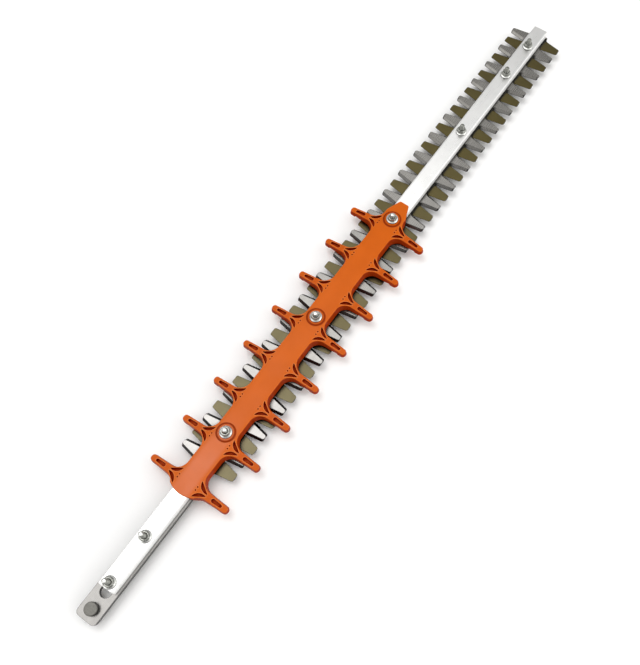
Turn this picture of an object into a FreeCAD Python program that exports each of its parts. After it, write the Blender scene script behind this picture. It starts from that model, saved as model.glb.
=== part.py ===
import FreeCAD, Part
import math
import os

os.makedirs("parts", exist_ok=True)
V = FreeCAD.Vector

# Double-acting, double-sided hedge trimmer blade. Millimetres, +Z up, X along the bar to its tip.
# Stations are distances from the drive end of the blades, both blades at mid stroke.

# Guide bar
bar_rear = 30.0
bar_length = 746.8
bar_width = 16.8
bar_height = 8.2
bar_corner = 1.5
bar_edge_radius = 0.8
bar_hole_radius = 2.75

# Bolt places: the shank pair from the bar's rear, three in the guard, three from the bar's tip
shank_bolt_inset = 6.0
shank_bolt_pitch = 46.0
guard_bolt_rear_inset = 67.0
guard_bolt_nose_inset = 23.3
guard_middle_bolt_share = 0.512
tip_bolt_inset = 31.8
tip_bolt_pitch = 49.5
outer_bolt_pitch = 94.5

# Blade strip and stroke
blade_thickness = 2.5
blade_half_width = 10.8
blade_drive_corner = 4.2
blade_nose_corner = 1.5
blade_play = 0.15
half_stroke = 7.5
slot_end_margin = 1.0
slot_clearance = 0.06

# Teeth
tooth_pitch = 30.0
first_tooth = 166.5
tooth_reach = 29.8
tooth_tip_width = 8.6
tooth_root_width = 15.1
tooth_tip_corner = 1.0
gullet_floor = 10.1
gullet_radius = 4.0
grind_width = 2.2

# Drive studs
stud_station = 10.5
stud_radius = 5.9
stud_height = 5.0
stud_chamfer = 0.6
stud_rivet_radius = 3.5
stud_rivet_relief = 0.1

# Fasteners and bushes
thread_radius = 2.5
thread_clearance = 0.02
thread_chamfer = 0.7
hex_across_flats = 8.0
flange_radius = 6.0
flange_rim = 1.1
flange_cone = 1.0
flange_cone_radius = 4.7
bolt_head_height = 5.0
nut_height = 5.0
hex_chamfer_radius = 4.1
hex_chamfer_drop = 0.45
shank_bolt_stand = 10.65
bar_bolt_stand = 3.65
washer_radius = 8.0
washer_thickness = 1.0
bush_radius = 5.4
bush_bore_clearance = 0.15

# Finger guard
guard_rear = 127.0
guard_nose = 489.8
guard_skirt_half_width = 12.6
guard_top_half_width = 11.3
guard_roof = 1.3
guard_wall = 2.5
guard_lift = 0.6
guard_edge_radius = 0.9
guard_rear_depth = 3.2
crown_half_width = 6.5
crown_radius = 30.0
nose_half_width = 5.2
nose_corner = 2.0
boss_radius = 9.5
boss_top_radius = 8.5
boss_height = 0.7
guard_hole_radius = 2.75

# Fingers of the guard, their plan measured at the foot of the skirt
finger_pairs = 8
first_finger_inset = 12.3
last_finger_inset = 33.2
finger_reach = 44.0
finger_tip_width = 6.8
finger_root_width = 9.4
finger_fillet = 10.0
finger_tip_radius = 3.2
finger_tip_height = 3.7
finger_lug_drop = 1.0
finger_lug_depth = 8.0
finger_lug_slope = 1.5

# Recesses of the fingers
tip_pocket_start = 26.6
tip_pocket_end = 37.6
tip_pocket_width = 3.8
tip_pocket_narrowing = 0.9
tip_pocket_depth = 2.6
crescent_rim = 2.0
crescent_width = 3.2
crescent_lead = 5.0
crescent_end = 10.7
crescent_depth = 2.8
pit_offset = 1.6
pit_station = 10.4
pit_radius = 0.75
pit_depth = 0.8
core_width = 3.4
core_start = 15.0
core_end = 25.0
core_depth = 2.6

# Overrun of the cuts
cut_over = 1.0

# Values that follow
overall_length = bar_rear + bar_length
first_finger = guard_rear + first_finger_inset
finger_pitch = (guard_nose - last_finger_inset - first_finger) / (finger_pairs - 1)
rear_guard_bolt = guard_rear + guard_bolt_rear_inset
nose_guard_bolt = guard_nose - guard_bolt_nose_inset
guard_bolt_span = nose_guard_bolt - rear_guard_bolt
middle_guard_bolt = rear_guard_bolt + guard_middle_bolt_share * guard_bolt_span
first_shank_bolt = bar_rear + shank_bolt_inset
last_bolt = overall_length - tip_bolt_inset
shank_stations = [first_shank_bolt, first_shank_bolt + shank_bolt_pitch]
guard_stations = [rear_guard_bolt, middle_guard_bolt, nose_guard_bolt]
tip_stations = [last_bolt - tip_bolt_pitch - outer_bolt_pitch, last_bolt - tip_bolt_pitch, last_bolt]
bolt_stations = shank_stations + guard_stations + tip_stations
z_washer = bolt_head_height
z_lower = z_washer + washer_thickness
z_shear = z_lower + blade_thickness
z_upper = z_shear + blade_thickness
z_bar = z_upper + blade_play
z_bar_top = z_bar + bar_height
z_roof = z_bar_top + guard_roof
z_boss = z_roof + boss_height
shank_bolt_length = z_bar_top + nut_height + shank_bolt_stand - z_washer
bar_bolt_length = z_boss + nut_height + bar_bolt_stand - z_washer
slot_half_width = bush_radius + slot_clearance
slot_half_length = half_stroke + slot_end_margin
z_skirt = z_upper + guard_lift
z_lug = z_upper - finger_lug_drop
draft = (guard_skirt_half_width - guard_top_half_width) / (z_roof - z_skirt)
finger_bend = guard_skirt_half_width + finger_fillet
last_finger = first_finger + (finger_pairs - 1) * finger_pitch


def along(station):
    return station - overall_length / 2.0


def save(name, shape):
    if shape.ShapeType == "Compound" and len(shape.Solids) == 1:
        shape = shape.Solids[0]
    shape.exportStep("parts/" + name + ".step")


def prism(points, direction):
    wire = Part.makePolygon(points + [points[0]])
    return Part.Face(wire).extrude(direction)


def drill(radius, x, low, high):
    return Part.makeCylinder(radius, high - low, V(x, 0, low))


def end_edges(bar, x):
    """Upright edges of a plain bar at one end."""
    found = []
    for edge in bar.Edges:
        ends = [v.Point for v in edge.Vertexes]
        upright = len(ends) == 2 and abs(ends[0].z - ends[1].z) > 1e-6
        if upright and abs(ends[0].x - x) < 1e-6:
            found.append(edge)
    return found


def rounded_bar(length, half_width, low, high, rear_radius, front_radius, x_start):
    bar = Part.makeBox(length, 2 * half_width, high - low, V(x_start, -half_width, low))
    bar = bar.makeFillet(rear_radius, end_edges(bar, x_start))
    return bar.makeFillet(front_radius, end_edges(bar, x_start + length))


def gullet_wire(grow, z):
    """Outline of the space between two teeth, grown by the grind."""
    mouth = (tooth_pitch - tooth_tip_width) / 2.0 + grow
    base = (tooth_pitch - tooth_root_width) / 2.0 + grow
    floor = gullet_floor - grow
    radius = gullet_radius + grow
    over = 1.5 * tooth_tip_corner
    shoulder = tooth_reach - tooth_tip_corner
    corner = V(-base, floor, z)
    top = V(-mouth, shoulder, z)
    outer = V(-mouth - over, shoulder + over, z)
    flank = (top - corner).normalize()
    inward = V(1, 0, 0)
    half = flank.getAngle(inward) / 2.0
    run = radius / math.tan(half)
    start = corner + flank * run
    end = corner + inward * run
    bisector = (flank + inward).normalize()
    middle = corner + bisector * (radius / math.sin(half) - radius)

    def mirrored(p):
        return V(-p.x, p.y, p.z)

    edges = [
        Part.makeLine(outer, top),
        Part.makeLine(top, start),
        Part.Arc(start, middle, end).toShape(),
        Part.makeLine(end, mirrored(end)),
        Part.Arc(mirrored(end), mirrored(middle), mirrored(start)).toShape(),
        Part.makeLine(mirrored(start), mirrored(top)),
        Part.makeLine(mirrored(top), mirrored(outer)),
        Part.makeLine(mirrored(outer), outer),
    ]
    return Part.Wire(edges)


def gullet_cutter():
    over = 0.2
    slope = grind_width / blade_thickness
    low = gullet_wire(-over * slope, -over)
    high = gullet_wire(grind_width + over * slope, blade_thickness + over)
    return Part.makeLoft([low, high], True, True)


def blade_slot(x):
    width = 2 * slot_half_width
    slot = Part.makeBox(2 * slot_half_length, width, 3 * blade_thickness,
                        V(x - slot_half_length, -slot_half_width, -blade_thickness))
    for side in (-1, 1):
        end = drill(slot_half_width, x + side * slot_half_length,
                    -blade_thickness, 2 * blade_thickness)
        slot = slot.fuse(end)
    return slot.removeSplitter()


def make_blade():
    """One blade, shear face on z = 0, long row of teeth on +Y, ground faces rising to the back."""
    blank = rounded_bar(overall_length, blade_half_width, 0, blade_thickness,
                        blade_drive_corner, blade_nose_corner, along(0))
    gullet = gullet_cutter()
    tools = []
    for side in (1, -1):
        start = first_tooth if side > 0 else first_tooth + tooth_pitch / 2.0
        room = overall_length - tooth_root_width / 2.0 - start
        count = int(room / tooth_pitch) + 1
        row_rear = start - tooth_pitch / 2.0
        row_front = min(row_rear + count * tooth_pitch, overall_length - blade_nose_corner)
        inner = gullet_floor - grind_width - cut_over
        low_y = inner if side > 0 else -tooth_reach
        row = Part.makeBox(row_front - row_rear, tooth_reach - inner, blade_thickness,
                           V(along(row_rear), low_y, 0))
        blank = blank.fuse(row)
        for k in range(count + 1):
            cutter = gullet.copy()
            if side < 0:
                cutter = cutter.mirror(V(0, 0, 0), V(0, 1, 0))
            cutter.translate(V(along(row_rear + k * tooth_pitch), 0, 0))
            tools.append(cutter)
    for station in bolt_stations:
        tools.append(blade_slot(along(station)))
    tools.append(drill(stud_rivet_radius, along(stud_station), -cut_over, blade_thickness + cut_over))
    return blank.removeSplitter().cut(tools).removeSplitter()


def make_stud():
    """Drive stud standing on the back of a blade, its rivet through the blade."""
    low = stud_rivet_relief
    seat = blade_thickness
    top = seat + stud_height
    points = [
        V(0, 0, low),
        V(stud_rivet_radius, 0, low),
        V(stud_rivet_radius, 0, seat),
        V(stud_radius, 0, seat),
        V(stud_radius, 0, top - stud_chamfer),
        V(stud_radius - stud_chamfer, 0, top),
        V(0, 0, top),
    ]
    face = Part.Face(Part.makePolygon(points + [points[0]]))
    stud = face.revolve(V(0, 0, 0), V(0, 0, 1), 360)
    stud.translate(V(along(stud_station), 0, 0))
    return stud


def hexagon(low, high):
    radius = hex_across_flats / math.sqrt(3.0)
    points = []
    for k in range(6):
        angle = math.radians(60 * k + 30)
        points.append(V(radius * math.cos(angle), radius * math.sin(angle), low))
    return prism(points, V(0, 0, high - low))


def flanged_hex(height):
    """Hexagon with a pressed flange at z = 0 and chamfered corners at the far end."""
    wide = hex_across_flats
    cap = [
        V(0, 0, 0),
        V(wide, 0, 0),
        V(wide, 0, height - hex_chamfer_drop * (wide - hex_chamfer_radius)),
        V(hex_chamfer_radius, 0, height),
        V(0, 0, height),
    ]
    envelope = Part.Face(Part.makePolygon(cap + [cap[0]])).revolve(V(0, 0, 0), V(0, 0, 1), 360)
    body = hexagon(0, height).common(envelope)
    rim = Part.makeCylinder(flange_radius, flange_rim)
    cone = Part.makeCone(flange_radius, flange_cone_radius, flange_cone, V(0, 0, flange_rim))
    return body.fuse([rim, cone]).removeSplitter()


def make_bolt(length, grip):
    """Flanged bolt, head below, bearing face on z = 0: the gripped length, then the free end."""
    head = flanged_hex(bolt_head_height).mirror(V(0, 0, 0), V(0, 0, 1))
    gripped = Part.makeCylinder(thread_radius, grip)
    bevel = length - thread_chamfer
    free = Part.makeCylinder(thread_radius, bevel - grip, V(0, 0, grip))
    end = Part.makeCone(thread_radius, thread_radius - thread_chamfer, thread_chamfer, V(0, 0, bevel))
    return free.fuse([end, gripped, head])


def make_nut():
    bore = drill(thread_radius + thread_clearance, 0, -cut_over, nut_height + cut_over)
    return flanged_hex(nut_height).cut(bore)


def ring(outer, inner, height):
    return Part.makeCylinder(outer, height).cut(drill(inner, 0, -cut_over, height + cut_over))


def finger_circles():
    """Lean of the fingers' flanks, then the plan centres of their root and tip arcs."""
    taper = (finger_root_width - finger_tip_width) / 2.0
    lean = math.atan(taper / (finger_reach - finger_bend))
    flank = finger_root_width / 2.0 * math.cos(lean) + finger_bend * math.sin(lean)
    tip_y = finger_reach - finger_tip_radius
    root_x = (flank + finger_fillet - finger_bend * math.sin(lean)) / math.cos(lean)
    tip_x = (flank - finger_tip_radius - tip_y * math.sin(lean)) / math.cos(lean)
    return lean, V(root_x, finger_bend, 0), V(tip_x, tip_y, 0)


def finger_edges(x, side, inset, z):
    """Plan of one finger from the rear root to the front root, moved inwards by inset."""
    lean, root, tip = finger_circles()

    def at(front, centre, radius, angle):
        across = centre.x + radius * math.cos(angle)
        return V(x + front * across, side * (centre.y + radius * math.sin(angle)), z)

    def arc(front, centre, radius, first, last):
        middle = (first + last) / 2.0
        points = [at(front, centre, radius, angle) for angle in (first, middle, last)]
        return Part.Arc(*points).toShape()

    edges = []
    for front in (-1, 1):
        root_radius = finger_fillet + inset
        tip_radius = finger_tip_radius - inset
        edges.append(arc(front, root, root_radius, 1.5 * math.pi, math.pi + lean))
        edges.append(Part.makeLine(at(front, root, root_radius, math.pi + lean),
                                   at(front, tip, tip_radius, lean)))
        edges.append(arc(front, tip, tip_radius, lean, math.pi / 2.0))
    ends = [at(front, tip, tip_radius, math.pi / 2.0) for front in (-1, 1)]
    edges.append(Part.makeLine(*ends))
    return edges


def guard_plan(z):
    """Whole plan of the guard at one height, narrower towards the roof by the draft."""
    inset = draft * (z - z_skirt)
    edge = guard_skirt_half_width - inset
    root_x = finger_circles()[1].x
    rear, front = guard_ends()
    edges = []
    for side in (1, -1):
        start = rear
        for k in range(finger_pairs):
            x = along(first_finger + k * finger_pitch)
            edges.append(Part.makeLine(V(start, side * edge, z), V(x - root_x, side * edge, z)))
            edges += finger_edges(x, side, inset, z)
            start = x + root_x
        edges.append(Part.makeLine(V(start, side * edge, z), V(front, side * edge, z)))
    for x in (rear, front):
        edges.append(Part.makeLine(V(x, edge, z), V(x, -edge, z)))
    return Part.Wire(Part.__sortEdges__(edges))


def guard_ends():
    """Where the drafted block of the guard begins and ends before its ends are trimmed."""
    root_x = finger_circles()[1].x
    rear = min(along(guard_rear), along(first_finger) - root_x) - cut_over
    front = max(along(guard_nose), along(last_finger) + root_x) + cut_over
    return rear, front


def across_guard(crest_drop, closing):
    """Prism along the guard under or over its crest: flat over the bar, rounded into straight falls."""
    tip_z = z_upper + finger_tip_height
    hub = V(0, crown_half_width, z_roof - crown_radius)
    away = V(0, finger_reach, tip_z) - hub
    fall = math.atan2(away.y, away.z) - math.acos(crown_radius / away.Length)

    def on_crown(angle):
        return hub + V(0, crown_radius * math.sin(angle), crown_radius * math.cos(angle))

    bend = on_crown(fall)
    run = finger_reach + 2 * cut_over - bend.y
    half = [on_crown(0), on_crown(fall / 2.0), bend, bend + V(0, run, -run * math.tan(fall))]
    rear, front = guard_ends()
    right = [p + V(rear, 0, -crest_drop) for p in half]
    left = [V(p.x, -p.y, p.z) for p in right]
    edges = [Part.makeLine(left[0], right[0])]
    for side in (left, right):
        edges.append(Part.Arc(*side[:3]).toShape())
        edges.append(Part.makeLine(side[2], side[3]))
    corners = [right[3]] + [V(rear, y, z) for y, z in closing(right[3].y)] + [left[3]]
    for a, b in zip(corners, corners[1:]):
        edges.append(Part.makeLine(a, b))
    face = Part.Face(Part.Wire(Part.__sortEdges__(edges)))
    return face.extrude(V(front - rear, 0, 0))


def under_side(reach):
    """Underside of the guard from one side to the other, with the lugs below the fingertips."""
    inner = finger_reach - finger_lug_depth
    lug = [(reach, z_lug), (inner + finger_lug_slope, z_lug), (inner, z_skirt)]
    return lug + [(-y, z) for y, z in reversed(lug)]


def over_side(reach):
    return [(reach, z_boss), (-reach, z_boss)]


def rear_bow():
    """What lies behind the bowed rear edge of the guard."""
    half = guard_skirt_half_width
    wide = half + guard_rear_depth
    x_rear = along(guard_rear)
    radius = (half ** 2 + guard_rear_depth ** 2) / (2.0 * guard_rear_depth)
    x_side = x_rear + radius - math.sqrt(radius ** 2 - wide ** 2)
    x_behind = guard_ends()[0] - cut_over
    arc = Part.Arc(V(x_side, wide, 0), V(x_rear, 0, 0), V(x_side, -wide, 0)).toShape()
    back = Part.makePolygon([V(x_side, -wide, 0), V(x_behind, -wide, 0),
                             V(x_behind, wide, 0), V(x_side, wide, 0)])
    plan = Part.Face(Part.Wire([arc] + back.Edges))
    return plan.extrude(V(0, 0, 2 * z_roof))


def nose_trim():
    """What lies ahead of the nose, which tapers from the roots of the last fingers."""
    wide = guard_skirt_half_width + cut_over
    x_taper = along(last_finger) + finger_circles()[1].x
    x_ahead = guard_ends()[1] + cut_over
    half = [
        V(along(guard_nose), nose_half_width, 0),
        V(x_taper, guard_skirt_half_width, 0),
        V(x_taper, wide, 0),
        V(x_ahead, wide, 0),
    ]
    other = [V(p.x, -p.y, 0) for p in reversed(half)]
    return prism(half + other, V(0, 0, 2 * z_roof))


def top_rim(block):
    """Edges round the crest of the guard: those that only one upward face has."""
    crest = []
    for face in block.Faces:
        u_first, u_last, v_first, v_last = face.ParameterRange
        if face.normalAt((u_first + u_last) / 2.0, (v_first + v_last) / 2.0).z > 0.9:
            crest += face.Edges
    return [e for e in crest if sum(1 for other in crest if other.isSame(e)) == 1]


def guard_block():
    """Moulded block of the guard: drafted sides, crowned roof, bowed rear, tapered nose, round rims."""
    sides = Part.makeLoft([guard_plan(z_lug - cut_over), guard_plan(z_roof + cut_over)], True, True)
    block = sides.common(across_guard(0, under_side)).cut([rear_bow(), nose_trim()])
    block = block.makeFillet(nose_corner, end_edges(block, along(guard_nose)))
    return block.makeFillet(guard_edge_radius, top_rim(block))


def arc_slot(centre, inner, outer, first, last):
    """Crescent groove between two arcs about one centre, pointed towards both ends."""
    middle = (first + last) / 2.0
    mean = (inner + outer) / 2.0

    def polar(radius, angle):
        turn = math.radians(angle)
        return centre + V(radius * math.cos(turn), radius * math.sin(turn), 0)

    tip_a = polar(mean, first)
    tip_b = polar(mean, last)
    edges = [
        Part.Arc(tip_a, polar(outer, middle), tip_b).toShape(),
        Part.Arc(tip_b, polar(inner, middle), tip_a).toShape(),
    ]
    return Part.Face(Part.Wire(edges))


def tip_pocket(x):
    """Plan of the long recess towards a fingertip, round at both ends."""
    wide = tip_pocket_width / 2.0
    narrow = wide - tip_pocket_narrowing / 2.0
    low = tip_pocket_start + wide
    high = tip_pocket_end - narrow
    edges = [
        Part.makeLine(V(x - wide, low, 0), V(x - narrow, high, 0)),
        Part.Arc(V(x - narrow, high, 0), V(x, tip_pocket_end, 0), V(x + narrow, high, 0)).toShape(),
        Part.makeLine(V(x + narrow, high, 0), V(x + wide, low, 0)),
        Part.Arc(V(x + wide, low, 0), V(x, tip_pocket_start, 0), V(x - wide, low, 0)).toShape(),
    ]
    return Part.Face(Part.Wire(edges))


def crescents(x):
    """Plan of the pair of grooves that follow the finger's root arcs."""
    root = finger_circles()[1]
    inner = finger_fillet + crescent_rim
    outer = inner + crescent_width
    mean = (inner + outer) / 2.0
    last = 180.0 + math.degrees(math.asin((root.y - crescent_end) / mean))
    right = arc_slot(root + V(x, 0, 0), inner, outer, 180.0 + crescent_lead, last)
    return [right, right.mirror(V(x, 0, 0), V(1, 0, 0))]


def pits(x):
    spots = [V(x + side * pit_offset, pit_station, 0) for side in (-1, 1)]
    return [Part.Face(Part.Wire(Part.makeCircle(pit_radius, spot))) for spot in spots]


def recess(plans, depth):
    """Recesses sunk to one depth below the crest, on the fingers of both sides."""
    columns = []
    for plan in plans:
        for side in (1, -1):
            face = plan.copy() if side > 0 else plan.mirror(V(0, 0, 0), V(0, 1, 0))
            face.translate(V(0, 0, z_upper))
            columns.append(face.extrude(V(0, 0, z_boss - z_upper)))
    return Part.makeCompound(columns).common(across_guard(depth, over_side))


def guard_channel():
    """Room under the guard for the bar."""
    outer_at_bar = guard_skirt_half_width - draft * (z_bar_top - z_skirt)
    inner_top = outer_at_bar - guard_wall
    inner_low = guard_skirt_half_width - guard_wall
    rear, front = guard_ends()
    half = [V(rear, inner_low, z_lug), V(rear, inner_low, z_skirt), V(rear, inner_top, z_bar_top)]
    other = [V(p.x, -p.y, p.z) for p in reversed(half)]
    return prism(half + other, V(front - rear, 0, 0))


def make_guard():
    guard = guard_block()
    for station in guard_stations:
        boss = Part.makeCone(boss_radius, boss_top_radius, boss_height, V(along(station), 0, z_roof))
        root = Part.makeCylinder(boss_radius, guard_roof, V(along(station), 0, z_bar_top))
        guard = guard.fuse([boss, root])
    finger_places = [along(first_finger + k * finger_pitch) for k in range(finger_pairs)]
    tools = [guard_channel()]
    for station in guard_stations:
        tools.append(drill(guard_hole_radius, along(station), z_skirt, z_boss + cut_over))
    for x in finger_places:
        for y in (core_start, -core_end):
            tools.append(Part.makeBox(core_width, core_end - core_start, core_depth + cut_over,
                                      V(x - core_width / 2, y, z_skirt - cut_over)))
    tools.append(recess([tip_pocket(x) for x in finger_places], tip_pocket_depth))
    tools.append(recess([plan for x in finger_places for plan in crescents(x)], crescent_depth))
    tools.append(recess([plan for x in finger_places for plan in pits(x)], pit_depth))
    return guard.cut(tools).removeSplitter()


# Blades and drive studs
upper_blade = make_blade()
upper_stud = make_stud()
for shape in (upper_blade, upper_stud):
    shape.translate(V(0, 0, z_shear))
save("upper_blade", upper_blade)
save("upper_drive_stud", upper_stud)

lower_blade = make_blade()
lower_stud = make_stud()
for shape in (lower_blade, lower_stud):
    shape.rotate(V(0, 0, 0), V(1, 0, 0), 180)
    shape.translate(V(0, 0, z_shear))
save("lower_blade", lower_blade)
save("lower_drive_stud", lower_stud)

# Guide bar
guide_bar = rounded_bar(bar_length, bar_width / 2.0, z_bar, z_bar_top, bar_corner, bar_corner,
                        along(bar_rear))
top_edges = [e for e in guide_bar.Edges if e.BoundBox.ZMin > z_bar_top - 1e-6]
guide_bar = guide_bar.makeFillet(bar_edge_radius, top_edges)
guide_bar = guide_bar.cut([drill(bar_hole_radius, along(s), z_bar - cut_over, z_bar_top + cut_over)
                           for s in bolt_stations])
save("guide_bar", guide_bar)

# Finger guard
save("finger_guard", make_guard())

# Bolts, nuts, washers and guide bushes
shank_bolts = []
bar_bolts = []
nuts = []
washers = []
for number, station in enumerate(bolt_stations):
    seat = z_boss if station in guard_stations else z_bar_top
    on_shank = station in shank_stations
    length = shank_bolt_length if on_shank else bar_bolt_length
    bolt = make_bolt(length, seat + nut_height - z_washer)
    bolt.translate(V(along(station), 0, z_washer))
    (shank_bolts if on_shank else bar_bolts).append(bolt)
    nut = make_nut()
    nut.translate(V(along(station), 0, seat))
    nuts.append(nut)
    washer = ring(washer_radius, thread_radius + bush_bore_clearance, washer_thickness)
    washer.translate(V(along(station), 0, z_washer))
    washers.append(washer)
    bush = ring(bush_radius, thread_radius + bush_bore_clearance, z_bar - z_lower)
    bush.translate(V(along(station), 0, z_lower))
    save("guide_bush_%d" % (number + 1), bush)
save("shank_bolts", Part.makeCompound(shank_bolts))
save("bar_bolts", Part.makeCompound(bar_bolts))
save("flange_nuts", Part.makeCompound(nuts))
save("washers", Part.makeCompound(washers))
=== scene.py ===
import math

import bpy
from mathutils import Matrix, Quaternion, Vector


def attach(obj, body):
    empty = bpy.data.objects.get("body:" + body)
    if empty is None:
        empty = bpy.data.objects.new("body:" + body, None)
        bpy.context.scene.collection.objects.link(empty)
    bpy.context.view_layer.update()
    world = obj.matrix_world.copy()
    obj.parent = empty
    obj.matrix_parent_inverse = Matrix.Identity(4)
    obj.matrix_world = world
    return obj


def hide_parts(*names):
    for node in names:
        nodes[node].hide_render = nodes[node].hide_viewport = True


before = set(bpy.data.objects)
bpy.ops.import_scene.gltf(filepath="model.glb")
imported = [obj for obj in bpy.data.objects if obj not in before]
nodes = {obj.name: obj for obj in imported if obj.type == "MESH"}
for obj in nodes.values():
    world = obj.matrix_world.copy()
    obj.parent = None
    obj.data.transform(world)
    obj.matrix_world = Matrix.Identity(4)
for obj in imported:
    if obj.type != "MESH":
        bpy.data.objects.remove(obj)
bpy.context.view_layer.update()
scene = bpy.context.scene
scene.view_settings.view_transform = "Standard"

# Sizes of the part in millimetres, with stations along the bar from the drive end
MM = 0.001
X_CENTRE = 388.4
SHANK_BOLTS = (36.0, 82.0)
GUARD_BOLTS = (194.0, 333.52, 466.5)
TIP_BOLTS = (601.0, 695.5, 745.0)
Z_WASHER = 5.0
Z_BAR_TOP = 19.35
Z_BOSS = 21.35
SHANK_BOLT_LENGTH = 30.0
BAR_BOLT_LENGTH = 25.0

# Degrees by which each nut is turned, and the factor on them for the head of its bolt
NUT_TURNS = {36.0: 8, 82.0: 22, 194.0: 14, 333.52: 5, 466.5: 27, 601.0: 18, 695.5: 40, 745.0: 11}
HEAD_TURN = 1.7

# Painted shade in rings round the bosses of the guard, in millimetres: radius, and distances off it
RING_RADIUS = 8.6
RING_DARK = 0.3
RING_GONE = 1.7

# Where finishes, painted shade and sheen change, in metres along and across the part from its
# centre
TONE_REAR, TONE_FRONT = -0.2, 0.25
FLANK_FULL_SHADE, FLANK_PLAIN = -0.05, 0.33
SHANK_UNSHADED, SHANK_END = -0.26, -0.21
GLARE_FULL, GLARE_GONE = -0.225, -0.165
SHEEN_REAR, SHEEN_FRONT = -0.15, 0.08
CROWN_FLAT, CROWN_EDGE = 0.006, 0.012
FINGER_ROOT, FINGER_ARM = 0.015, 0.024


# Colours

def rgb(*value):
    return (*value, 1.0)


BLACK = rgb(0.018, 0.017, 0.015)
PAINTED_EDGE_SHADE = rgb(0.028, 0.026, 0.023)
BAR_LIGHT = rgb(0.93, 0.93, 0.92)
BAR_CLOUD = rgb(0.87, 0.87, 0.86)
BAR_STREAK = rgb(0.78, 0.78, 0.77)
ORANGE = rgb(0.605, 0.110, 0.0022)
ORANGE_CLOUD = rgb(0.57, 0.102, 0.0017)
ORANGE_FINGER = rgb(0.46, 0.062, 0.0012)
ORANGE_PAINTED_WALL_SHADE = rgb(0.33, 0.030, 0.0008)
ORANGE_PAINTED_RECESS_SHADE = rgb(0.24, 0.007, 0.0003)
ORANGE_PAINTED_RIM_HIGHLIGHT = rgb(0.76, 0.22, 0.04)
ORANGE_PAINTED_RING_SHADE = rgb(0.20, 0.012, 0.0005)
PAPER_LIGHT = rgb(0.98, 0.98, 0.98)
PAPER_GRAIN = rgb(0.96, 0.96, 0.96)
SKY_TINT = rgb(1.0, 0.995, 0.985)


# Materials

class Nodes:
    """Small helper that adds shader nodes and links to one tree."""

    NOISE_ROUGHNESS = 0.55
    MIX_COLOURS = (6, 7)        # sockets of a Mix node that take its two colours
    MIX_RESULT = 2              # socket of a Mix node that gives the mixed colour

    def __init__(self, tree):
        self.tree = tree
        tree.nodes.clear()

    def add(self, kind, **values):
        node = self.tree.nodes.new("ShaderNode" + kind)
        for key, value in values.items():
            setattr(node, key, value)
        return node

    def link(self, out, socket):
        self.tree.links.new(out, socket)

    def put(self, socket, value):
        if isinstance(value, bpy.types.NodeSocket):
            self.link(value, socket)
        else:
            socket.default_value = value

    def math(self, operation, a, b=0.0, c=0.0, clamp=False):
        node = self.add("Math", operation=operation, use_clamp=clamp)
        for socket, value in zip(node.inputs, (a, b, c)):
            self.put(socket, value)
        return node.outputs[0]

    def span(self, value, low, high, to_low=0.0, to_high=1.0):
        """Smooth step from to_low, where value is low, to to_high, where value is high."""
        node = self.add("MapRange", interpolation_type="SMOOTHSTEP")
        for key, number in zip(("Value", "From Min", "From Max", "To Min", "To Max"),
                               (value, low, high, to_low, to_high)):
            self.put(node.inputs[key], number)
        return node.outputs["Result"]

    def mix(self, factor, *colours):
        node = self.add("Mix", data_type="RGBA")
        self.put(node.inputs[0], factor)
        for socket, colour in zip(self.MIX_COLOURS, colours):
            self.put(node.inputs[socket], colour)
        return node.outputs[self.MIX_RESULT]

    def facing(self, axis="Z"):
        """How squarely a face looks along an axis of the part, either way: 0 to 1."""
        split = self.add("SeparateXYZ")
        self.link(self.add("NewGeometry").outputs["True Normal"], split.inputs[0])
        return self.math("ABSOLUTE", split.outputs[axis])

    def edge(self, radius):
        """1 along sharp edges, 0 on the faces between them."""
        dot = self.add("VectorMath", operation="DOT_PRODUCT")
        self.link(self.rounded(radius), dot.inputs[0])
        self.link(self.add("NewGeometry").outputs["True Normal"], dot.inputs[1])
        return self.span(dot.outputs["Value"], 0.99, 0.9)

    def place(self, scale=(1, 1, 1)):
        """Place on the part in metres, stretched by scale."""
        where = self.add("TexCoord").outputs["Object"]
        node = self.add("Mapping")
        self.link(where, node.inputs["Vector"])
        node.inputs["Scale"].default_value = scale
        return node.outputs["Vector"]

    def noise(self, scale, detail, stretch=(1, 1, 1)):
        node = self.add("TexNoise")
        self.link(self.place(stretch), node.inputs["Vector"])
        node.inputs["Scale"].default_value = scale
        node.inputs["Detail"].default_value = detail
        node.inputs["Roughness"].default_value = self.NOISE_ROUGHNESS
        return node.outputs["Fac"]

    def bump(self, height, strength, distance, normal):
        node = self.add("Bump")
        node.inputs["Strength"].default_value = strength
        node.inputs["Distance"].default_value = distance
        self.link(height, node.inputs["Height"])
        self.link(normal, node.inputs["Normal"])
        return node.outputs["Normal"]

    def shelter(self, distance):
        """How open a place is, 0 deep in a recess to 1 in the open."""
        node = self.add("AmbientOcclusion", samples=8)
        node.inputs["Distance"].default_value = distance
        return node.outputs["AO"]

    def rounded(self, radius):
        """Normal that rounds sharp edges off by a radius."""
        node = self.add("Bevel", samples=6)
        node.inputs["Radius"].default_value = radius
        return node.outputs["Normal"]


def material(name):
    made = bpy.data.materials.new(name)
    made.use_nodes = True
    n = Nodes(made.node_tree)
    out = n.add("OutputMaterial")
    shader = n.add("BsdfPrincipled")
    n.link(shader.outputs[0], out.inputs["Surface"])
    return made, n, shader.inputs


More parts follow.
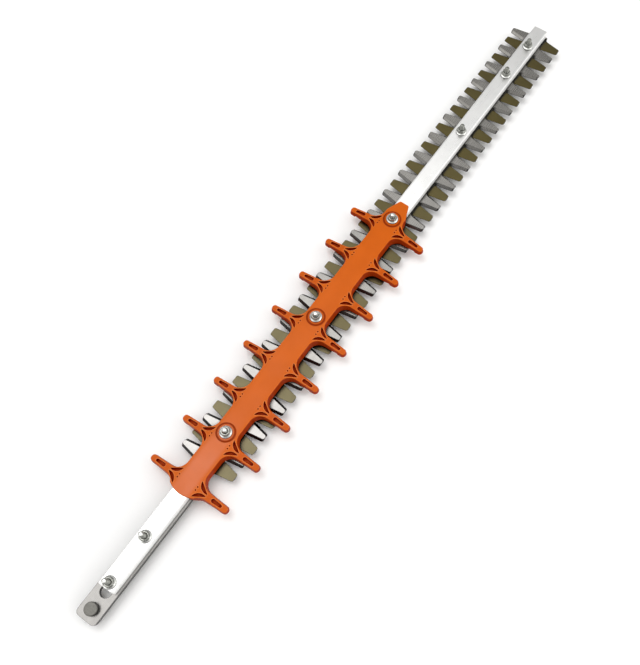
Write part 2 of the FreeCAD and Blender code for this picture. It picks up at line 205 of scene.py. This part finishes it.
def plated(name, tone, shade, rough, sides=None, recess=0.0):
    """Plated or turned steel: cloudy tone, fine specks, soft edges, painted shade on sides and in
    recesses where asked.
    """
    made, n, sh = material(name)
    cloud = n.noise(scale=700.0, detail=4.0)
    look = n.mix(n.span(cloud, 0.3, 0.7), tone, shade)
    # Painted shade: steep sides darker
    if sides:
        look = n.mix(n.span(n.facing(), 0.95, 0.2), look, sides)
    # Painted shade: black deep in recesses
    if recess:
        look = n.mix(n.span(n.shelter(recess), 0.25, 0.75), BLACK, look)
    n.link(look, sh["Base Color"])
    sh["Metallic"].default_value = 1.0
    speck = n.noise(scale=2600.0, detail=2.0)
    n.link(n.span(speck, 0.25, 0.75, rough - 0.06, rough + 0.08), sh["Roughness"])
    surface = n.bump(speck, strength=0.12, distance=0.05 * MM, normal=n.rounded(0.2 * MM))
    n.link(surface, sh["Normal"])
    return made


def bar_material():
    """Drawn bar, brushed along its length, its narrow sides left duller."""
    made, n, sh = material("satin_bar")
    streak = n.noise(scale=900.0, detail=3.0, stretch=(0.02, 1, 1))
    cloud = n.noise(scale=60.0, detail=3.0)
    tone = n.mix(n.span(cloud, 0.3, 0.75), BAR_LIGHT, BAR_CLOUD)
    tone = n.mix(n.span(streak, 0.45, 0.8, 0.0, 0.35), tone, BAR_STREAK)
    n.link(tone, sh["Base Color"])
    side = n.span(n.facing(), 0.6, 0.3)
    n.link(n.span(side, 0.0, 1.0, 1.0, 0.1), sh["Metallic"])
    grain = n.span(streak, 0.2, 0.8, 0.26, 0.36)
    n.link(n.math("MULTIPLY_ADD", side, 0.22, grain), sh["Roughness"])
    surface = n.bump(streak, strength=0.10, distance=0.03 * MM, normal=n.rounded(2.2 * MM))
    n.link(surface, sh["Normal"])
    return made


def blade_material(name, rear, front, painted_flank_shade, rough, oil=0.0):
    """Rolled steel strip: painted shade on the bevelled tooth flanks, darker towards the drive end,
    on the near-black punched edges, along sharp edges and where the strip is sheltered.
    """
    made, n, sh = material(name)
    streak = n.noise(scale=1400.0, detail=3.0, stretch=(0.05, 1, 1))
    cloud = n.noise(scale=90.0, detail=4.0)
    along = n.add("SeparateXYZ")
    n.link(n.place(), along.inputs[0])
    x = along.outputs["X"]
    flat = n.mix(n.span(x, TONE_REAR, TONE_FRONT), rear, front)
    flat = n.mix(n.span(cloud, 0.3, 0.7, 0.0, 0.13), flat, BLACK)
    tilt = n.facing()
    # Painted shade: tooth flanks darker towards the drive end, and black where they face across the
    # strip
    flank = n.mix(n.span(x, FLANK_FULL_SHADE, FLANK_PLAIN), painted_flank_shade, flat)
    flank = n.mix(n.span(n.facing("Y"), 0.2, 0.5), flank, BLACK)
    tone = n.mix(n.span(tilt, 0.9, 0.75), flat, flank)
    # Painted shade: the steep punched edges of the strip near black
    tone = n.mix(n.span(tilt, 0.5, 0.3), tone, PAINTED_EDGE_SHADE)
    # Painted shade: sharp edges darkened towards black
    tone = n.mix(n.math("MULTIPLY", n.edge(0.8 * MM), 0.75), tone, BLACK)
    # Painted shade: black where the bar and the other blade shelter the strip, left out on the
    # shank
    open_air = n.span(n.shelter(8.0 * MM), 0.5, 0.72)
    shank = n.span(x, SHANK_UNSHADED, SHANK_END, 1.0, 0.0)
    unshaded = n.math("MAXIMUM", open_air, shank)
    n.link(n.mix(unshaded, BLACK, tone), sh["Base Color"])
    sh["Metallic"].default_value = 1.0
    n.link(n.span(streak, 0.2, 0.8, rough - 0.02, rough + 0.03), sh["Roughness"])
    surface = n.bump(streak, strength=0.015, distance=0.03 * MM, normal=n.rounded(0.12 * MM))
    n.link(surface, sh["Normal"])
    sh["Coat Weight"].default_value = oil
    sh["Coat Roughness"].default_value = 0.3
    return made


def guard_material():
    """Moulded orange plastic: fine grain, painted shade on sides, in recesses and round the bosses,
    and a painted highlight on the rims.
    """
    made, n, sh = material("guard_plastic")
    where = n.place()
    along = n.add("SeparateXYZ")
    n.link(where, along.inputs[0])
    x = along.outputs["X"]
    across = n.math("ABSOLUTE", along.outputs["Y"])
    cloud = n.noise(scale=45.0, detail=4.0)
    tone = n.mix(n.span(cloud, 0.3, 0.7), ORANGE, ORANGE_CLOUD)
    tone = n.mix(n.span(across, FINGER_ROOT, FINGER_ARM, 0.0, 0.4), tone, ORANGE_FINGER)
    tilt = n.facing()
    rim = n.math("MULTIPLY", n.edge(1.7 * MM), n.span(tilt, 0.45, 0.8))
    # Painted shade: steep side walls darker red
    tone = n.mix(n.span(tilt, 0.75, 0.35), tone, ORANGE_PAINTED_WALL_SHADE)
    # Painted shade: dark red deep in recesses and crescents
    open_air = n.span(n.shelter(5.0 * MM), 0.38, 0.86)
    tone = n.mix(open_air, ORANGE_PAINTED_RECESS_SHADE, tone)
    # Painted highlight: lighter orange along the top edges of the rims, out of the recesses
    painted_rim_highlight = n.math("MULTIPLY", rim, n.math("MULTIPLY", open_air, 0.6))
    tone = n.mix(painted_rim_highlight, tone, ORANGE_PAINTED_RIM_HIGHLIGHT)
    # Painted shade: a dark ring round the foot of each boss, where the sheen is also dropped
    for station in GUARD_BOLTS:
        reach = n.add("VectorMath", operation="DISTANCE")
        n.link(where, reach.inputs[0])
        reach.inputs[1].default_value = ((station - X_CENTRE) * MM, 0.0, Z_BOSS * MM)
        off = n.math("ABSOLUTE", n.math("SUBTRACT", reach.outputs["Value"], RING_RADIUS * MM))
        clear = n.span(off, RING_DARK * MM, RING_GONE * MM, 0.15, 1.0)
        tone = n.mix(clear, ORANGE_PAINTED_RING_SHADE, tone)
        open_air = n.math("MULTIPLY", open_air, clear)
    n.link(tone, sh["Base Color"])
    grain = n.noise(scale=3200.0, detail=2.0)
    swell = n.noise(scale=55.0, detail=2.0)
    n.link(n.span(swell, 0.3, 0.7, 0.30, 0.38), sh["Roughness"])
    crown = n.span(across, CROWN_FLAT, CROWN_EDGE, 0.28, 0.0)
    sheen = n.math("MULTIPLY", n.span(x, GLARE_FULL, GLARE_GONE, 1.0, 0.0), crown)
    sheen = n.math("ADD", sheen, n.span(x, SHEEN_REAR, SHEEN_FRONT, 0.18, 0.10))
    sheen = n.math("MULTIPLY_ADD", rim, 0.25, sheen)
    sheen = n.math("MULTIPLY", sheen, n.span(tilt, 0.2, 0.8, 0.25, 1.0))
    n.link(n.math("MULTIPLY", sheen, open_air), sh["Specular IOR Level"])
    wave = n.bump(swell, strength=0.15, distance=0.4 * MM, normal=n.rounded(0.25 * MM))
    surface = n.bump(grain, strength=0.10, distance=0.04 * MM, normal=wave)
    n.link(surface, sh["Normal"])
    return made


# Painted shade: the hexagons take a darker copy of the same zinc, with black painted into their
# recesses, and the flange sides of the bright zinc are painted dark
STEEL_ZINC = plated("zinc_bright", rgb(0.86, 0.865, 0.84), rgb(0.66, 0.665, 0.64), 0.20,
                    sides=rgb(0.10, 0.10, 0.09))
STEEL_HEX = plated("zinc_hexagon", rgb(0.40, 0.405, 0.375), rgb(0.21, 0.213, 0.197), 0.20,
                   recess=2.4 * MM)
STEEL_BOLT = plated("zinc_thread", rgb(0.33, 0.335, 0.305), rgb(0.19, 0.194, 0.176), 0.24)
# Painted shade: the steeper faces of the drive studs near black
STEEL_TURNED = plated("turned_steel", rgb(0.195, 0.19, 0.175), rgb(0.15, 0.147, 0.134), 0.42,
                      sides=rgb(0.03, 0.028, 0.025))
# Painted shade: the washers take a dark tone and black in their recesses, as they are seen in
# shadow through the slots
STEEL_WASHER = plated("washer_zinc", rgb(0.18, 0.165, 0.158), rgb(0.14, 0.129, 0.124), 0.34,
                      recess=6.0 * MM)
STEEL_BUSH = plated("bush_steel", rgb(0.48, 0.47, 0.45), rgb(0.38, 0.37, 0.36), 0.30)
looks = {
    "guide_bar": bar_material(),
    "upper_blade": blade_material("upper_steel", rear=rgb(0.335, 0.326, 0.315),
                                  front=rgb(0.30, 0.291, 0.273),
                                  painted_flank_shade=rgb(0.05, 0.049, 0.047), rough=0.27),
    "lower_blade": blade_material("lower_steel", rear=rgb(0.121, 0.104, 0.056),
                                  front=rgb(0.117, 0.095, 0.033),
                                  painted_flank_shade=rgb(0.06, 0.055, 0.045), rough=0.33, oil=0.2),
    "finger_guard": guard_material(),
    "upper_drive_stud": STEEL_TURNED,
    "lower_drive_stud": STEEL_TURNED,
    "washers": STEEL_WASHER,
}
for number in range(len(SHANK_BOLTS + GUARD_BOLTS + TIP_BOLTS)):
    looks["guide_bush_%d" % (number + 1)] = STEEL_BUSH
for name, look in looks.items():
    mesh = nodes[name].data
    mesh.materials.clear()
    mesh.materials.append(look)


# Bolts and nuts with rolled threads and pressed flanges, in millimetres

ACROSS_FLATS = 8.0
CORNER_LIMIT = 1.142            # corner over half the flats, where a sharp corner has 1.155
CHAMFER_RADIUS = 3.95
CHAMFER_SLOPE = 0.5
FLANGE_RADIUS = 6.0
HEX_HEIGHT = 5.0
HEX_SIDES = 96
HEX_RINGS = range(7, 15)        # rings of a flanged hexagon that make its hexagon
NUT_BORE = 2.52
PLAIN_RADIUS = 2.45
NECK_DEPTH = 1.6                # how far below the nut's top the thread begins
THREAD_RADIUS = 2.48
THREAD_PITCH = 0.8
THREAD_DEPTH = 0.36
THREAD_SIDES = 40
STEPS_PER_PITCH = 8
GROOVE_SLOPE = 1.25
GROOVE_LAND = 0.12
RUN_OUT = 0.5
RUN_OUT_LEFT = 0.15             # share of the thread's depth at its very end
DOME_HEIGHT = 0.85
DOME_RADIUS = THREAD_RADIUS - 0.1
PAINTED_HIGHLIGHT_END_FACES = 3 * THREAD_SIDES     # faces of the three last rings of a bolt end
SHARP_ANGLE = 38.0              # degrees between faces that meet in a sharp edge

# Rounded end of a bolt: shares of its height and of its radius
DOME = ((0.35, 0.93), (0.65, 0.82), (0.85, 0.66), (0.96, 0.42), (1.0, 0.01))

# Shades of a fastener, in the order of its materials: bright zinc, a darker copy of it as painted
# shade on the hexagon, and the thread
BRIGHT, PAINTED_SHADE_COPY, THREAD = range(3)


def hex_radius(angle):
    """Radius of the hexagon at an angle, its corners slightly rounded."""
    turn = (angle + math.pi / 6) % (math.pi / 3) - math.pi / 6
    return min(ACROSS_FLATS / 2 / math.cos(turn), ACROSS_FLATS / 2 * CORNER_LIMIT)


def hex_section(angle, open_bore):
    """Half section of a flanged hexagon at one angle, from the flange face to the far end."""
    corner = hex_radius(angle)
    shoulder = HEX_HEIGHT - max(0.0, CHAMFER_SLOPE * (corner - CHAMFER_RADIUS))
    section = [
        (FLANGE_RADIUS - 0.25, 0.0),
        (FLANGE_RADIUS - 0.05, 0.12),
        (FLANGE_RADIUS, 0.35),
        (FLANGE_RADIUS, 0.70),
        (FLANGE_RADIUS - 0.10, 0.92),
        (FLANGE_RADIUS - 0.35, 1.06),
        (max(5.0, corner + 0.25), 1.33),
        (max(4.7, corner + 0.10), 1.48),
        (corner + 0.02, 1.8),
        (corner, 2.6),
        (corner, shoulder - 0.30),
        (corner - 0.03, shoulder - 0.10),
        (corner - 0.14, shoulder + 0.02),
        (3.85, HEX_HEIGHT - 0.01),
        (3.6, HEX_HEIGHT),
    ]
    if open_bore:
        return section + [(3.0, HEX_HEIGHT), (2.85, HEX_HEIGHT - 0.05),
                          (NUT_BORE, HEX_HEIGHT - 0.45), (NUT_BORE, 0.0)]
    return section + [(3.2, HEX_HEIGHT), (2.9, HEX_HEIGHT - 0.12), (2.6, HEX_HEIGHT - 0.42),
                      (2.2, HEX_HEIGHT - 0.5), (0.02, HEX_HEIGHT - 0.5)]


def revolve(rows, verts, faces, closed):
    """Adds rings of points joined by faces; closed joins the last ring to the first."""
    first = len(verts)
    count = len(rows[0])
    for row in rows:
        verts.extend(row)
    pairs = [(i, i + 1) for i in range(len(rows) - 1)]
    if closed:
        pairs.append((len(rows) - 1, 0))
    for a, b in pairs:
        for k in range(count):
            m = (k + 1) % count
            faces.append((first + a * count + k, first + a * count + m,
                          first + b * count + m, first + b * count + k))


def flanged_hex(verts, faces, shades, place, turn, up, open_bore):
    """Adds a flanged hexagon that stands up or hangs down from its flange at place."""
    x, z = place
    first = len(faces)
    sections = []
    for k in range(HEX_SIDES):
        angle = 2 * math.pi * k / HEX_SIDES
        sections.append((angle, hex_section(angle, open_bore)))
    rows = []
    for ring in range(len(sections[0][1])):
        row = []
        for angle, section in sections:
            radius, height = section[ring]
            spin = angle + turn
            row.append((x + radius * math.cos(spin), up * radius * math.sin(spin), z + up * height))
        rows.append(row)
    revolve(rows, verts, faces, open_bore)
    # Painted shade: the hexagon's rings take the darker copy of the zinc
    for k in range(first, len(faces)):
        shades.append(PAINTED_SHADE_COPY if (k - first) // HEX_SIDES in HEX_RINGS else BRIGHT)


def round_ring(x, radius, height):
    """One ring of a bolt's round shank."""
    turns = [2 * math.pi * k / THREAD_SIDES for k in range(THREAD_SIDES)]
    return [(x + radius * math.cos(turn), radius * math.sin(turn), height) for turn in turns]


def thread_end(verts, faces, x, low, high):
    """Adds the rolled thread of a bolt from low to its rounded end at high."""
    step = THREAD_PITCH / STEPS_PER_PITCH
    count = int((high - DOME_HEIGHT - low) / step)
    rows = []
    for i in range(count + 1):
        height = low + i * step
        fade = min(1.0, (high - DOME_HEIGHT - height) / RUN_OUT + RUN_OUT_LEFT)
        row = []
        for k in range(THREAD_SIDES):
            angle = 2 * math.pi * k / THREAD_SIDES
            phase = (height / THREAD_PITCH - k / THREAD_SIDES) % 1.0
            crest = abs(2 * phase - 1)
            groove = min(1.0, max(0.0, GROOVE_SLOPE * crest - GROOVE_LAND))
            radius = THREAD_RADIUS - THREAD_DEPTH * fade * groove
            row.append((x + radius * math.cos(angle), radius * math.sin(angle), height))
        rows.append(row)
    base = low + count * step
    for share, size in DOME:
        rows.append(round_ring(x, DOME_RADIUS * size, base + (high - base) * share))
    revolve(rows, verts, faces, False)


def piece(name, verts, faces, shades, finishes, replaced):
    """Makes one mesh of a group of fasteners, which takes the place of its node."""
    mesh = bpy.data.meshes.new(name)
    mesh.from_pydata([(v[0] * MM, v[1] * MM, v[2] * MM) for v in verts], [], faces)
    for finish in finishes:
        mesh.materials.append(finish)
    for face, shade in zip(mesh.polygons, shades):
        face.use_smooth = True
        face.material_index = shade
    made = bpy.data.objects.new(name, mesh)
    scene.collection.objects.link(made)
    mesh.set_sharp_from_angle(angle=math.radians(SHARP_ANGLE))
    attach(made, "bar")
    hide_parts(replaced)


def nut_seat(station):
    return Z_BOSS if station in GUARD_BOLTS else Z_BAR_TOP


def bolt_set(name, stations, length, replaced):
    verts, faces, shades = [], [], []
    for station in stations:
        x = station - X_CENTRE
        neck = nut_seat(station) + HEX_HEIGHT - NECK_DEPTH
        turn = math.radians(NUT_TURNS[station] * HEAD_TURN)
        flanged_hex(verts, faces, shades, (x, Z_WASHER), turn, -1, False)
        thread_end(verts, faces, x, neck, Z_WASHER + length)
        shades.extend([THREAD] * (len(faces) - len(shades)))
        # Painted highlight: the rounded ends of all bolts but the tip bolts take the bright zinc
        if station not in TIP_BOLTS:
            shades[-PAINTED_HIGHLIGHT_END_FACES:] = [BRIGHT] * PAINTED_HIGHLIGHT_END_FACES
        plain = [round_ring(x, PLAIN_RADIUS, z) for z in (Z_WASHER, neck)]
        revolve(plain, verts, faces, False)
        shades.extend([THREAD] * (len(faces) - len(shades)))
    piece(name, verts, faces, shades, (STEEL_ZINC, STEEL_HEX, STEEL_BOLT), replaced)


def nut_set():
    verts, faces, shades = [], [], []
    for station in SHANK_BOLTS + GUARD_BOLTS + TIP_BOLTS:
        place = (station - X_CENTRE, nut_seat(station))
        flanged_hex(verts, faces, shades, place, math.radians(NUT_TURNS[station]), 1, True)
    piece("flange_nut_set", verts, faces, shades, (STEEL_ZINC, STEEL_HEX),
          "flange_nuts")


bolt_set("shank_bolt_set", SHANK_BOLTS, SHANK_BOLT_LENGTH, "shank_bolts")
bolt_set("bar_bolt_set", GUARD_BOLTS + TIP_BOLTS, BAR_BOLT_LENGTH, "bar_bolts")
nut_set()


# Floor, light and camera, in metres

FLOOR_HALF = 6.0
FLOOR_GAP = 0.0003

# Soft lights of the sky: direction, tightness and strength
SKY_LIGHTS = (
    ((0.08, 0.286, 0.955), 11.6, 2.45),
    ((0.07, 0.286, 0.956), 200.0, 2.6),
    ((0.35, -0.85, 0.42), 6.0, 2.2),
    ((-0.75, 0.35, 0.56), 20.0, 1.5),
)
HORIZON_GLOW = 0.10
ZENITH_GLOW = 0.29

KEY_SIZE = 1.2
KEY_POWER = 4.9
KEY_PLACE = (0.0, 0.95, 1.55)

SENSOR_WIDTH = 36.0
LENS = 39.277
LENS_SHIFT = (-0.05122, 0.02068)
EYE_PLACE = (-0.26740, -0.19505, 0.66198)
EYE_TURN = (0.8701503, 0.1676499, -0.0859216, -0.4553564)


def floor():
    mesh = bpy.data.meshes.new("floor")
    corners = [(x * FLOOR_HALF, y * FLOOR_HALF, 0) for x, y in ((-1, -1), (1, -1), (1, 1), (-1, 1))]
    mesh.from_pydata(corners, [], [(0, 1, 2, 3)])
    made = bpy.data.objects.new("floor", mesh)
    made.location.z = -FLOOR_GAP
    scene.collection.objects.link(made)
    look = bpy.data.materials.new("floor_white")
    look.use_nodes = True
    n = Nodes(look.node_tree)
    out = n.add("OutputMaterial")
    paper = n.add("BsdfDiffuse")
    grain = n.noise(scale=300.0, detail=2.0)
    n.link(n.mix(grain, PAPER_LIGHT, PAPER_GRAIN), paper.inputs["Color"])
    n.link(paper.outputs[0], out.inputs["Surface"])
    mesh.materials.append(look)


def sky():
    """Soft overhead light; the eye and shiny surfaces see a white backdrop round it."""
    world = bpy.data.worlds.new("studio")
    scene.world = world
    world.use_nodes = True
    n = Nodes(world.node_tree)
    out = n.add("OutputWorld")
    back = n.add("Background")
    n.link(back.outputs[0], out.inputs["Surface"])
    where = n.add("TexCoord").outputs["Generated"]

    def soft_light(direction, tightness, strength):
        dot = n.add("VectorMath", operation="DOT_PRODUCT")
        n.link(where, dot.inputs[0])
        dot.inputs[1].default_value = Vector(direction).normalized()
        power = n.math("MULTIPLY", n.math("SUBTRACT", dot.outputs["Value"], 1.0), tightness)
        return n.math("MULTIPLY", n.math("EXPONENT", power), strength)

    split = n.add("SeparateXYZ")
    n.link(where, split.inputs[0])
    height = split.outputs["Z"]
    total = n.span(height, 0.0, 0.30, HORIZON_GLOW, ZENITH_GLOW)
    for light in SKY_LIGHTS:
        total = n.math("ADD", total, soft_light(*light))
    path = n.add("LightPath").outputs
    shiny = n.math("ADD", path["Is Glossy Ray"], path["Is Transmission Ray"], clamp=True)
    shiny = n.math("MULTIPLY", shiny, n.span(height, 0.42, 0.12))
    seen = n.math("MAXIMUM", path["Is Camera Ray"], shiny)
    strength = n.math("MULTIPLY_ADD", seen, n.math("SUBTRACT", 1.0, total), total)
    n.link(strength, back.inputs["Strength"])
    back.inputs["Color"].default_value = SKY_TINT


def key_light():
    lamp = bpy.data.lights.new("key", "AREA")
    lamp.shape = "RECTANGLE"
    lamp.size = KEY_SIZE
    lamp.size_y = KEY_SIZE
    lamp.energy = KEY_POWER
    made = bpy.data.objects.new("key", lamp)
    made.location = KEY_PLACE
    made.rotation_mode = "QUATERNION"
    made.rotation_quaternion = (-made.location).to_track_quat("-Z", "Y")
    made.visible_glossy = False
    scene.collection.objects.link(made)


def camera():
    eye = bpy.data.cameras.new("camera")
    eye.sensor_fit = "AUTO"
    eye.sensor_width = SENSOR_WIDTH
    eye.lens = LENS
    eye.shift_x, eye.shift_y = LENS_SHIFT
    eye.clip_start, eye.clip_end = 0.01, 50.0
    made = bpy.data.objects.new("camera", eye)
    made.location = EYE_PLACE
    made.rotation_mode = "QUATERNION"
    made.rotation_quaternion = Quaternion(EYE_TURN)
    scene.collection.objects.link(made)
    scene.camera = made


floor()
sky()
key_light()
camera()
